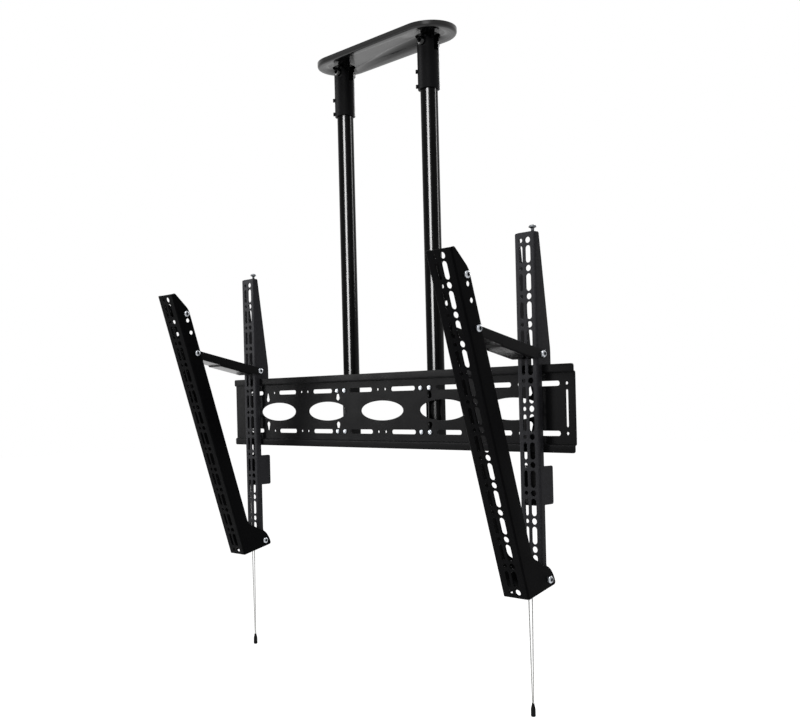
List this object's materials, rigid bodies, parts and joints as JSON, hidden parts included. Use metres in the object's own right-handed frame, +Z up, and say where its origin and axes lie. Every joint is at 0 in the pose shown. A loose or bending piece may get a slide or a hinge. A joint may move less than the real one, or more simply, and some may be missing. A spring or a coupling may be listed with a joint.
{
  "type": "tv ceiling mount",
  "caption": "Ceiling mount for a large flat screen: poles under an oval ceiling cover carry a punched cross rail, on which hooked arms slide, tilt on struts and unlatch by pull cords.",
  "frame": {"origin": "middle of the ceiling plate's top face, half way between the pole axes", "axes": "+Z up into the ceiling, +X along the rail to the right as seen from the screen side, -Y towards the screen"},
  "size_m": [0.9625, 0.3415, 1.311],
  "materials": {
    "satin_black": "fine-textured satin black powder coat",
    "gloss_black": "gloss black paint",
    "zinc": "bright zinc plating",
    "black_plastic": "moulded black plastic",
    "cord": "pale grey braided cord"
  },
  "bodies": {
    "frame": {"ceiling_plate": "satin_black", "ceiling_cover": "gloss_black", "rail": "satin_black", "yoke_left": "satin_black", "yoke_bolt_left": "gloss_black", "yoke_nut_left": "gloss_black", "collar_left": "satin_black", "collar_screws_left": "satin_black", "pole_left": "gloss_black", "pole_cap_left": "black_plastic", "pole_foot_left": "satin_black", "foot_bolts_left": "zinc", "foot_nuts_left": "zinc", "yoke_right": "satin_black", "yoke_bolt_right": "gloss_black", "yoke_nut_right": "gloss_black", "collar_right": "satin_black", "collar_screws_right": "satin_black", "pole_right": "gloss_black", "pole_cap_right": "black_plastic", "pole_foot_right": "satin_black", "foot_bolts_right": "zinc", "foot_nuts_right": "zinc"},
    "arm_left": {"arm_left": "satin_black", "level_screw_left": "zinc", "strut_bolts_left": "zinc", "tilt_bolts_left": "zinc", "latch_box_left": "satin_black"},
    "tilting_arm_left": {"tilt_arm_left": "satin_black", "stop_bolts_left": "zinc"},
    "strut_left": {"strut_left": "satin_black"},
    "latch_left": {"latch_left": "satin_black", "cord_left_a": "cord", "cord_left_b": "cord", "toggle_left": "black_plastic"},
    "arm_right": {"arm_right": "satin_black", "level_screw_right": "zinc", "strut_bolts_right": "zinc", "tilt_bolts_right": "zinc", "latch_box_right": "satin_black"},
    "tilting_arm_right": {"tilt_arm_right": "satin_black", "stop_bolts_right": "zinc"},
    "strut_right": {"strut_right": "satin_black"},
    "latch_right": {"latch_right": "satin_black", "cord_right_a": "cord", "cord_right_b": "cord", "toggle_right": "black_plastic"}
  },
  "joints": [
    {"name": "arm_slide_left", "type": "slide", "parent": "frame", "child": "arm_left", "axis": [1, 0, 0], "range_m": [-0.045, 0.25]},
    {"name": "tilt_left", "type": "hinge", "parent": "arm_left", "child": "tilting_arm_left", "pos_m": [-0.418, -0.0385, -1.062], "axis": [-1, 0, 0], "range_deg": [0, 11.5]},
    {"name": "strut_turn_left", "type": "hinge", "parent": "arm_left", "child": "strut_left", "pos_m": [-0.418, -0.0385, -0.663], "axis": [-1, 0, 0], "range_deg": [0, 46]},
    {"name": "latch_pull_left", "type": "slide", "parent": "arm_left", "child": "latch_left", "axis": [0, 0, -1], "range_m": [0, 0.012], "stiffness_N_per_m": 800, "springref_m": -0.01},
    {"name": "arm_slide_right", "type": "slide", "parent": "frame", "child": "arm_right", "axis": [1, 0, 0], "range_m": [-0.215, 0.06]},
    {"name": "tilt_right", "type": "hinge", "parent": "arm_right", "child": "tilting_arm_right", "pos_m": [0.382, -0.0385, -1.062], "axis": [-1, 0, 0], "range_deg": [0, 11.5]},
    {"name": "strut_turn_right", "type": "hinge", "parent": "arm_right", "child": "strut_right", "pos_m": [0.382, -0.0385, -0.663], "axis": [-1, 0, 0], "range_deg": [0, 46]},
    {"name": "latch_pull_right", "type": "slide", "parent": "arm_right", "child": "latch_right", "axis": [0, 0, -1], "range_m": [0, 0.012], "stiffness_N_per_m": 800, "springref_m": -0.01}
  ],
  "couplings": [
    {"joint": "strut_turn_left", "follows": "tilt_left", "ratio": 3.95},
    {"joint": "strut_turn_right", "follows": "tilt_right", "ratio": 3.95}
  ]
}
